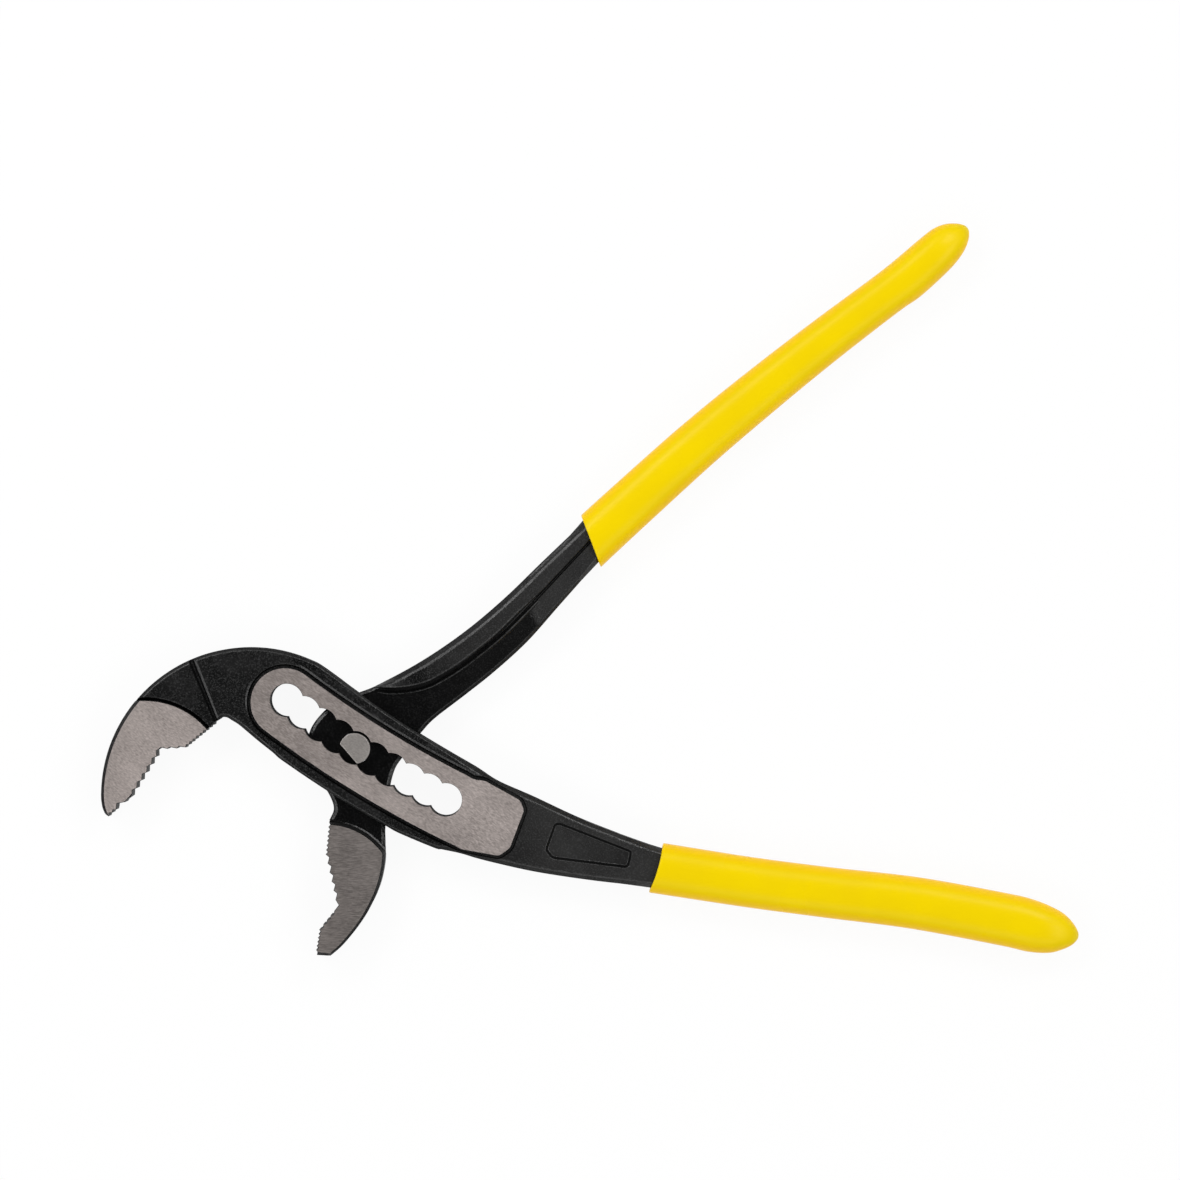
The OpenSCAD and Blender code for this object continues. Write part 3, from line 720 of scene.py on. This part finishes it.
# Outer handle. An edge, a groove and a sunk panel are given as distances out and down, and a border is
# a circle's centre, radius and steps.
outer = {
    "hookCentre": firstLobe + (-11.5, -29.8), "hookRadius": 46.58, "hookTurn": (180.5, 62),
    "hookSteps": 28, "boxSteps": 10, "perSpan": 3, "jawEdge": (1.2, 0.75, straightEdge),
    "tipBack": [(-55.8, -36.1), (-56.5, -35.7), (-57.1, -34.8), (-57.6, -33.5), (-57.9, -32)],
    "tipFront": [(-55.2, -36.6), (-54.5, -36.4), (-53.8, -35.9), (-53, -35.2), (-52.2, -34.5)],
    "mouth": [(-51.4, -33.7), (-48.6, -30.9), (-44.4, -25.8), (-40.5, -20.5), (-36.5, -17.5), (-31.1, -16),
              (-26.1, -12.1), (-22.9, -8.8), (-20.9, -5.8), (-19.8, -5.1), (-18.4, -5.3), (-17.1, -6.1),
              (-14.6, -7.7), (-9.5, -12), (-4, -16.4)],
    "shankTop": [(3.1, 14.1), (10, 10.1), (16.7, 5.8), (27.6, 1), (42, -5.7), (56.8, -11.5)],
    "shankBottom": [(-3.3, -15), (4.5, -16.6), (12.1, -18.8), (27.4, -22.3), (43.2, -24.8), (55.5, -26.3)],
    "edgeAlong": [(0, 1.4), (30, 1.4), (36, 0.9), (43, 0.9), (48, 2)], "edgeSlope": 0.56,
    "tuck": [(16, 0.04), (22, 0)], "boxInset": (1.45, 1.3), "rimTop": (5.2, 3.9), "rimBottom": 4.35,
    "lobes": 10, "lobeRadius": 5.2, "lobeOffset": 0.25, "lobeSteps": 14, "slotEdge": (0.1, 0.15),
    "railTop": 4.75, "railBottom": 6.55, "railSteps": 24, "padFrom": 0.4, "padCorner": (1, 5),
    "pad": [(9.2, 6.6), (12.4, 6.3), (23.6, 0.1), (24.9, -3.1), (20.4, -15), (16.9, -17.5), (5.1, -15.4),
            (3.1, -14.3)],
    "roundSteps": 48, "plateEdge": (-0.13, 0.15),
    "groove": [(0.75, 0.95), (1.15, 0.22), (1.51, 0)], "grooveLean": 0.4, "leanTurn": 108,
    "border": (firstLobe + (-44.4, -25.8), 25.75, 160),
    "borderEdge": (0.15, 0.2), "borderGroove": [(0.25, 1.9), (1.2, 0.16), (1.48, 0)],
    "crease": [(-29.9, 13), (-19.2, -13.1)], "creaseShares": (1.35, 0.85),
    "creaseProfile": [(-1.1, 0.5), (-0.8, 0), (-0.25, -1), (0.1, -1), (0.6, -0.22), (1.15, 0), (1.6, 0.5)],
    "panel": [(34.2, -7.2), (36.2, -7), (58.8, -15.9), (58, -20.2), (57, -21.4), (33.4, -18.4),
              (31.2, -15.6)],
    "panelCorner": (1.1, 5), "panelSink": [(-1, 1.25), (-0.82, 1.19), (-0.02, 0.05), (0.13, 0)],
    "panelHeight": 5.665, "panelFall": (lastLobe + (27.5, -10.65), np.array((28.65, -8.25)), 0.02486),
    "windowRadius": 18, "windowRound": 96, "windowReach": 26, "windowSteps": 8,
    "windowEnd": [(46, 8), (43.6, -6.6), (34, -7.2), (26, -8), (21.5, -10.5), (20, -24)],
    "coarse": (2.7, 0.9, 0.55), "fine": (1.35, 0.55, 0.45), "shallow": (2.7, 0.55, 0.25)}
cheekTop = outer["lobeOffset"] + outer["lobeRadius"] + outer["railTop"]
cheekBottom = outer["lobeOffset"] - outer["lobeRadius"] - outer["railBottom"]


# Each lobe is an arc about its own centre. Two neighbours cross where the half distance between their
# centres is the lobe radius times the cosine of the angle from one centre to the other.
def slotOutline():
    steps = np.linspace(firstStep, lastStep, outer["lobes"])
    halfStep = (steps[1] - steps[0]) / 2
    halfPitch = (slotRadius - outer["lobeOffset"]) * np.sin(np.radians(halfStep))
    cross = np.degrees(np.arccos(halfPitch / outer["lobeRadius"]))
    upper, lower = cross + halfStep, cross - halfStep
    last = len(steps) - 1
    top, bottom = [], []
    for i, step in enumerate(steps):
        centre, along = onSlot(step, outer["lobeOffset"]), slotAngle + step + 90
        first, final = along + (180 if i == 0 else 180 - upper), along + (0 if i == last else upper)
        top.append(arcLine(centre, outer["lobeRadius"], first, final, outer["lobeSteps"])[:-1])
        first, final = along - (0 if i == last else lower), along - (180 if i == 0 else 180 - lower)
        bottom.append(arcLine(centre, outer["lobeRadius"], first, final, outer["lobeSteps"])[:-1])
    return np.vstack(top + bottom[::-1])


# The ground cheeks: two edges beside the slot, a pad at the handle end and a half circle at the other
def cheekOutline():
    steps = np.linspace(firstStep, lastStep + outer["padFrom"], outer["railSteps"] + 1)
    upper, lower = onSlot(steps, cheekTop), onSlot(steps[::-1], cheekBottom)
    pad = np.vstack([upper[-1:], lastLobe + np.array(outer["pad"]), lower[:1]])
    pad = softChain(pad, *outer["padCorner"])
    middle, half = (cheekTop + cheekBottom) / 2, (cheekTop - cheekBottom) / 2
    up = slotAngle + firstStep + 180
    end = arcLine(onSlot(firstStep, middle), half, up + 180, up, outer["roundSteps"])[1:-1]
    return np.vstack([upper[:-1], pad, lower[1:], end])


# The window that the blade passes through, open on both sides of the box
def windowOutline():
    steps = np.linspace(firstStep, lastStep, outer["windowSteps"] + 1)
    reach = outer["windowReach"]
    end = lastLobe + np.array(outer["windowEnd"])
    return np.vstack([onSlot(steps, reach), end, onSlot(steps[::-1], -reach)])


# The upper jaw's mouth: a tooth at the tip, a coarse row, a shallow one and a fine one
def upperMouth():
    coarse, fine, shallow = outer["coarse"], outer["fine"], outer["shallow"]
    return firstLobe + np.vstack([
        toothRow((-55.6, -36), (-53.3, -34.1), *fine),
        [(-53.3, -34.1), (-53, -32.2), (-50.4, -31.7), (-49.9, -30.9)],
        toothRow((-48.3, -29.8), (-40.5, -17.4), *coarse),
        [(-40.5, -17.4), (-40.6, -15.6)],
        toothRow((-40, -15.2), (-31.4, -14.8), *shallow),
        toothRow((-31.4, -14.6), (-21.5, -6.6), *fine),
        [(-20.7, -5.6), (-20.4, -12), (-40, -45), (-58, -42)]])


# Teeth are cut straight through, with their upper and lower edges broken
toothEdge = (0.2, 0.3)
toothLevels = brokenLevels(level["jaw"], *toothEdge)


# Back and mouth edges from the jaw's tip to the end of the steel in the grip, with each station's number
def outerEdges():
    perSpan, boxCount = outer["perSpan"], outer["boxSteps"] + 1
    first, last = outer["boxInset"]
    boxSteps = np.linspace(firstStep + first, lastStep - last, boxCount)
    boxTop = onSlot(boxSteps, cheekTop + np.linspace(*outer["rimTop"], boxCount))
    boxBottom = onSlot(boxSteps, cheekBottom - outer["rimBottom"])
    tangTop, tangBottom = tangEdges(outerGrip)
    tipBack, tipFront, mouth = (firstLobe + np.array(outer[k]) for k in ("tipBack", "tipFront", "mouth"))
    hook = arcLine(outer["hookCentre"], outer["hookRadius"], *outer["hookTurn"], outer["hookSteps"])
    mouth = smoothLine(mouth, outer["hookSteps"] // (len(mouth) - 1))
    shankTop, shankBottom = (
        smoothLine(lastLobe + np.array(outer[k]), perSpan) for k in ("shankTop", "shankBottom"))
    back = np.vstack([tipBack, hook, boxTop, shankTop, tangTop])
    front = np.vstack([tipFront, mouth, boxBottom, shankBottom, tangBottom])
    jawEnd = len(tipBack) + outer["hookSteps"]
    shankFrom, tangFrom = jawEnd + boxCount + 1, len(back) - len(tangTop)
    station = np.linspace(0, len(back) - 1, perSpan * (len(back) - 1) + 1)
    edges = smoothLine(back, perSpan), smoothLine(front, perSpan)
    return *edges, station, perSpan * jawEnd, shankFrom, tangFrom


# The bar from the hook to the grip, with a jaw and a plate joined on, and all the rest cut away
def outerPiece():
    back, front, station, jawEnd, shankFrom, tangFrom = outerEdges()
    skin, jawTop = level["skin"], level["jaw"]
    half = np.minimum(np.interp(station, [shankFrom - 1, tangFrom], [jawTop, level["core"]]), skin)
    side = valuesAt(station, outer["edgeAlong"])
    toTang = np.interp(station, [tangFrom - 1, tangFrom], [0, 1])
    edge = [toTang * (grip["tangRound"] - size) + size for size in (side, side * outer["edgeSlope"])]
    tuck = valuesAt(station, outer["tuck"])[:, None] * unit(front - back)
    handle = ringObject("outer_handle_forging", barSurface(
        back + tuck, front - tuck, half, (*edge, softEdge), (*edge, softEdge)))
    jaw = ringObject("jaw", barSurface(
        back[:jawEnd], front[:jawEnd], jawTop, outer["jawEdge"], outer["jawEdge"]))
    border = circleLine(*outer["border"])
    out, down = outer["borderEdge"]
    borderLevels = [(out, jawTop - down), (0, jawTop), (0, level["past"])]
    jaw = worked(jaw, [keep(evenTool("border", border, borderLevels))])
    cheek = cheekOutline()
    lean = polar(outer["grooveLean"], outer["leanTurn"])
    crease = firstLobe + np.array(outer["crease"])
    panel = softCorners(lastLobe + np.array(outer["panel"]), *outer["panelCorner"])
    grooves = onBothFaces("groove", lambda face: leaned(
        stackSurface(cheek, sunkLevels(outer["groove"], skin, face)), skin - nudge, np.inf, lean))
    grooves += onBothFaces("borderGroove", lambda face: stackSurface(
        border, sunkLevels(outer["borderGroove"], skin, face)))
    grooves += onBothFaces("crease", lambda face: profileSurface(
        outer["creaseProfile"], skin, crease, outer["creaseShares"], face))
    panels = onBothFaces("panel", lambda face: fallen(
        stackSurface(panel, sunkLevels(outer["panelSink"], outer["panelHeight"], face)), *outer["panelFall"]))
    plate = evenTool("plate", cheek, brokenLevels(level["cheek"], *outer["plateEdge"])[:-1])
    slot = evenTool("slot", slotOutline(), brokenLevels(level["cheek"], *outer["slotEdge"]))
    teeth = evenTool("teeth", upperMouth(), toothLevels)
    window = evenTool("window", windowOutline(), [(0, level["window"])])
    shoulder = circleLine(firstLobe, outer["windowRadius"], outer["windowRound"])
    shoulder = evenTool("shoulder", shoulder, [(0, level["window"])])
    steps = [cut(t) for t in grooves] + [join(jaw), join(plate)]
    steps += [cut(t) for t in [slot, teeth, window, shoulder] + panels]
    return worked(handle, steps)


finishPiece(outerPiece(), "outer", "outer_handle", outerSteel, sharpPast["forging"])


# Inner handle. The rises, shares and drops are pairs of a station and a value.
inner = {
    "perSpan": 6, "jawEnd": 60, "jawEdge": (1, 0.65, straightEdge),
    "upperJaw": [(-14.4, -64.6), (-13.9, -59.5), (-12.8, -55.2), (-9.8, -51.8), (-7.6, -48.6),
                 (-8.6, -44.5), (-10.3, -39.5), (-11.1, -33.5), (-10.9, -28), (-8, -22.4), (-6.7, -18.6),
                 (-8.7, -13.6)],
    "bladeRadius": 15.2, "bladeTurn": (212, 130, 3), "bore": 0.05, "boreSteps": 120,
    "upperNeck": [(-4.6, 15.4), (0.6, 17.3), (7.8, 20.2), (21.7, 27.9), (34.9, 37), (47, 47.2),
                  (58.5, 58.3), (67.5, 66.9)],
    "lower": [(-7.6, -65), (-3.9, -61.8), (0.1, -57.1), (3, -53), (5.2, -49), (6.9, -45.4), (8.4, -41),
              (9.4, -35.4), (9.5, -30), (9.4, -25.5), (9.6, -21.5), (10.1, -17.5), (10.7, -13.5),
              (11.4, -9.8), (12.7, -6), (14.9, -2.8), (17.5, 0.9), (20.8, 5), (25, 9.4), (34.5, 16.7),
              (43.8, 24.1), (54, 33.4), (63.4, 44), (71, 52.6)],
    "floorRise": [(116, 2.7), (124, 3.3), (128, 4.05), (130, 4.8)], "tipDrop": [(0, 0.6), (2, 0)],
    "bladeEdge": (1.5, 0.66), "neckEdge": (1.4, 0.9), "neckEdgeFrom": (100, 112),
    "tuck": 0.04, "tuckBack": 6, "border": ((-8.9, -45.6), 21.7, 160),
    "wall": [(0, 0), (0.2, 0.25), (0.75, 3.3), (0.86, 3.8), (0.98, 3.95), (1.25, 4.17), (1.6, 4.25)],
    "wallLean": (0.34, 0), "leanBelow": 2.85,
    "ribUpper": [(6.2, 19.5), (14.3, 23.7), (21.7, 27.9), (28.4, 32.3), (34.9, 37), (41, 41.9), (47, 47.2),
                 (52.8, 52.7), (58.5, 58.3), (67.5, 66.9), (71.4, 70.6), (73.6, 72.6)],
    "ribLine": [(6, 18.6), (11.1, 17.8), (17.3, 18.3), (22.4, 19.5), (25.9, 21.1), (32.5, 25.1),
                (39.3, 30.2), (46.2, 36), (54.7, 44.5), (67.9, 58.6), (74, 65), (76.2, 67.3)],
    "perRib": 8, "perLine": 60, "apart": 0.1, "ribInset": 0.06, "crest": (2.5, 1.45, crestEdge),
    "ribRise": [(0, 2.4), (3, 3.6), (6, 5), (10, 5.5)], "ribFootAt": (48, 58),
    "ribFoot": [(1.7, 0.9), (2.5, 0.95)],
    "foot": [(0.8, 1.2), (0.45, -0.1), (0.1, -0.7), (-0.15, -0.7), (-0.7, 0.05), (-1.1, 0.6)],
    "footRise": [(0, 2.68), (8, 2.8), (20, 2.9), (26, 3.4), (30, 3.5), (54, 4.9), (58, 4.8)],
    "footShare": [(0, 0.6), (30, 0.7), (54, 0.85), (64, 0.75)],
    "ledgeIn": 0.5, "ledgeOut": 1.5, "ledgeEnd": 56, "ledgeUnder": 0.1,
    "ledgeRise": [(0, 2.75), (20, 2.85), (26, 3.4), (30, 3.5), (54, 5)], "ledgeEdge": (0.9, 0.7, lipEdge),
    "coarse": (2.7, 0.9, 0.4), "fine": (1.35, 0.55, 0.45), "small": (1.8, 0.55, 0.5)}


# The lower jaw's mouth: a fine row by the blade, a coarse one, a small one and a fine one at the tip
def lowerMouth():
    coarse, fine, small = inner["coarse"], inner["fine"], inner["small"]
    return np.vstack([
        toothRow((-8.1, -23.2), (-9.1, -33.2), *fine),
        toothRow((-9.1, -33.2), (-6, -47.4), *coarse),
        [(-6, -47.4), (-5, -49.1)],
        toothRow((-6.4, -50.9), (-10.9, -56.4), *small),
        toothRow((-11.1, -56.8), (-12.3, -64.4), *fine),
        [(-12.4, -68), (-24, -68), (-24, -22.6), (-7.9, -22.6)]])


# The neck's rib, the ledge along its foot, and the groove between the two on each face. Each point of
# the rib's upper edge is paired with the closest one of its lower line.
def neckTools():
    ribUpper = smoothLine(inner["ribUpper"], inner["perRib"])
    ribLine = closest(ribUpper, smoothLine(inner["ribLine"], inner["perLine"]))
    across = unit(ribLine - ribUpper)
    count = np.arange(len(ribUpper))
    rise, ledgeRise, footRise, footShare = (
        valuesAt(count, inner[name]) for name in ("ribRise", "ledgeRise", "footRise", "footShare"))
    flank = [np.interp(count, inner["ribFootAt"], sizes) for sizes in inner["ribFoot"]]
    ribTop = ribUpper + inner["ribInset"] * across
    rib = ringObject("rib", barSurface(ribTop, ribLine, rise, inner["crest"], (*flank, hollowEdge)))
    end = inner["ledgeEnd"]
    ledgeTop, ledgeLine = ribTop + inner["ledgeIn"] * across, ribLine + inner["ledgeOut"] * across
    ledge = ringObject("ledge", barSurface(
        ledgeTop[:end], ledgeLine[:end], np.minimum(rise - inner["ledgeUnder"], ledgeRise)[:end],
        inner["ledgeEdge"], inner["ledgeEdge"]))
    apart = np.append(False, np.linalg.norm(np.diff(ribLine, axis=0), axis=1) > inner["apart"])
    feet = onBothFaces("foot", lambda face: profileSurface(
        inner["foot"], footRise[apart], ribLine[apart], footShare[apart], face))
    return rib, ledge, feet


# The bar from the jaw through the blade to the grip, with a jaw, a rib and a ledge joined on
def innerPiece():
    perSpan, jawEnd, jawTop = inner["perSpan"], inner["jawEnd"], level["jaw"]
    shoulder = arcLine((0, 0), inner["bladeRadius"], *inner["bladeTurn"])
    upper = smoothLine(np.vstack([inner["upperJaw"], shoulder, inner["upperNeck"]]), perSpan)
    lower = smoothLine(inner["lower"], perSpan)
    neckEnd = len(upper)
    upper, lower = (np.vstack([neck, smoothLine(tang, grip["perTang"])])
                    for neck, tang in zip((upper, lower), tangEdges(innerGrip)))
    count = np.arange(len(upper))
    onNeck = count < neckEnd
    upperEdge = [np.where(onNeck, size, grip["tangRound"]) for size in inner["bladeEdge"]]
    lowerEdge = [np.where(onNeck, np.interp(count, inner["neckEdgeFrom"], sizes), grip["tangRound"])
                 for sizes in zip(inner["bladeEdge"], inner["neckEdge"])]
    tuck = np.where(count < jawEnd - inner["tuckBack"], inner["tuck"], 0)[:, None] * unit(lower - upper)
    handle = ringObject("inner_handle_forging", barSurface(
        upper + tuck, lower - tuck, valuesAt(count, inner["floorRise"]),
        (*upperEdge, brokenEdge), (*lowerEdge, softEdge)))
    jaw = ringObject("jaw", barSurface(
        upper[:jawEnd], lower[:jawEnd], jawTop - valuesAt(count[:jawEnd], inner["tipDrop"]),
        inner["jawEdge"], inner["jawEdge"]))
    border = circleLine(*inner["border"])
    wall = [(out, jawTop - down) for out, down in inner["wall"][::-1]] + [(0, level["past"])]
    border = leaned(stackSurface(border, bothHalves(wall)), 0, inner["leanBelow"], inner["wallLean"])
    jaw = worked(jaw, [keep(ringObject("border", border))])
    rib, ledge, feet = neckTools()
    teeth = evenTool("teeth", lowerMouth(), toothLevels)
    bore = circleLine((0, 0), pinRadius + inner["bore"], inner["boreSteps"])
    bore = evenTool("bore", bore, [(0, level["past"])])
    steps = [join(t) for t in (jaw, rib, ledge)] + [cut(t) for t in (*feet, teeth, bore)]
    return worked(handle, steps)


finishPiece(innerPiece(), "inner", "inner_handle", innerSteel, sharpPast["forging"])


# Stage: pale floor, soft light and the camera straight above. The sky is heights and brightnesses:
# white at the horizon, a soft ring of light round the camera, and dark where the camera stands. A lamp
# is a direction, a lean from straight above, a width, a height and a power.
stage = {
    "view": (73.8, 49.7), "width": 369.9, "lens": 200, "sensor": 36, "clipEnd": 20,
    "floor": (0.88, 0.88, 0.88), "floorSize": 12, "floorDrop": 0.0003, "floorRough": 0.9,
    "floorGloss": 0.1, "lift": 0.93, "ring": 1.5,
    "sky": [(0, 1), (0.05, 1), (0.09, 0.3), (0.4, 0.25), (0.6, 1.5), (0.75, 1.5), (0.87, 0.06), (1, 0.06)],
    "lampAway": 1.45, "lamps": {
        "leftUpLamp": (138, 42, 0.9, 0.42, 4.8), "leftLowLamp": (212, 42, 1.0, 0.42, 2.9),
        "rightUpLamp": (52, 42, 0.5, 0.42, 3.4), "rightLowLamp": (-8, 41, 0.8, 0.42, 2.2)}}
bpy.ops.mesh.primitive_plane_add(size=stage["floorSize"], location=(0, 0, -stage["floorDrop"]))
floor = bpy.context.object
floor.name = "floor"
floorPaint = bpy.data.materials.new("floorPaint")
floorPaint.use_nodes = True
floor.data.materials.append(floorPaint)
tree = floorPaint.node_tree
paint = tree.nodes["Principled BSDF"]
dress(tree, paint, (*stage["floor"], 1), 0, stage["floorRough"], stage["floorGloss"])
glow = tree.nodes.new("ShaderNodeEmission")
blend = tree.nodes.new("ShaderNodeMixShader")
rays = tree.nodes.new("ShaderNodeLightPath")
seen = mathNode(tree, "MAXIMUM", rays.outputs["Is Camera Ray"], rays.outputs["Is Glossy Ray"])
seen = mathNode(tree, "MAXIMUM", seen, rays.outputs["Is Transmission Ray"])
tree.links.new(product(tree, seen, stage["lift"]), blend.inputs[0])
tree.links.new(paint.outputs[0], blend.inputs[1])
tree.links.new(glow.outputs[0], blend.inputs[2])
tree.links.new(blend.outputs[0], tree.nodes["Material Output"].inputs["Surface"])

world = bpy.data.worlds.new("studio")
bpy.context.scene.world = world
world.use_nodes = True
tree = world.node_tree
direction = tree.nodes.new("ShaderNodeTexCoord").outputs["Generated"]
ramp = tree.nodes.new("ShaderNodeValToRGB")
while len(ramp.color_ramp.elements) < len(stage["sky"]):
    ramp.color_ramp.elements.new(0.5)
for element, (height, bright) in zip(ramp.color_ramp.elements, stage["sky"]):
    element.position = height
    element.color = (bright / stage["ring"],) * 3 + (1,)
tree.links.new(axisOf(tree, direction, "Z"), ramp.inputs[0])
tree.links.new(ramp.outputs[0], tree.nodes["Background"].inputs["Color"])
tree.nodes["Background"].inputs["Strength"].default_value = stage["ring"]
viewed = Vector((stage["view"][0] * mm, stage["view"][1] * mm, 0))


def softLamp(name, turn, lean, width, height, power):
    lamp = bpy.data.lights.new(name, "AREA")
    lamp.shape, lamp.size, lamp.size_y, lamp.energy = "RECTANGLE", width, height, power
    made = newObject(name, lamp)
    across, up = polar(stage["lampAway"], lean)[::-1]
    made.location = viewed + Vector((*polar(across, turn), up))
    made.rotation_euler = (viewed - made.location).to_track_quat("-Z", "Y").to_euler()


for lampName, lampValues in stage["lamps"].items():
    softLamp(lampName, *lampValues)

camera = newObject("camera", bpy.data.cameras.new("camera"))
camera.data.lens, camera.data.sensor_width = stage["lens"], stage["sensor"]
away = stage["width"] * stage["lens"] / stage["sensor"] + 2 * midZ
camera.location = viewed + Vector((0, 0, away * mm))
camera.data.clip_end = stage["clipEnd"]
bpy.context.scene.camera = camera
bpy.context.scene.view_settings.view_transform = "Standard"
print("stage ready")
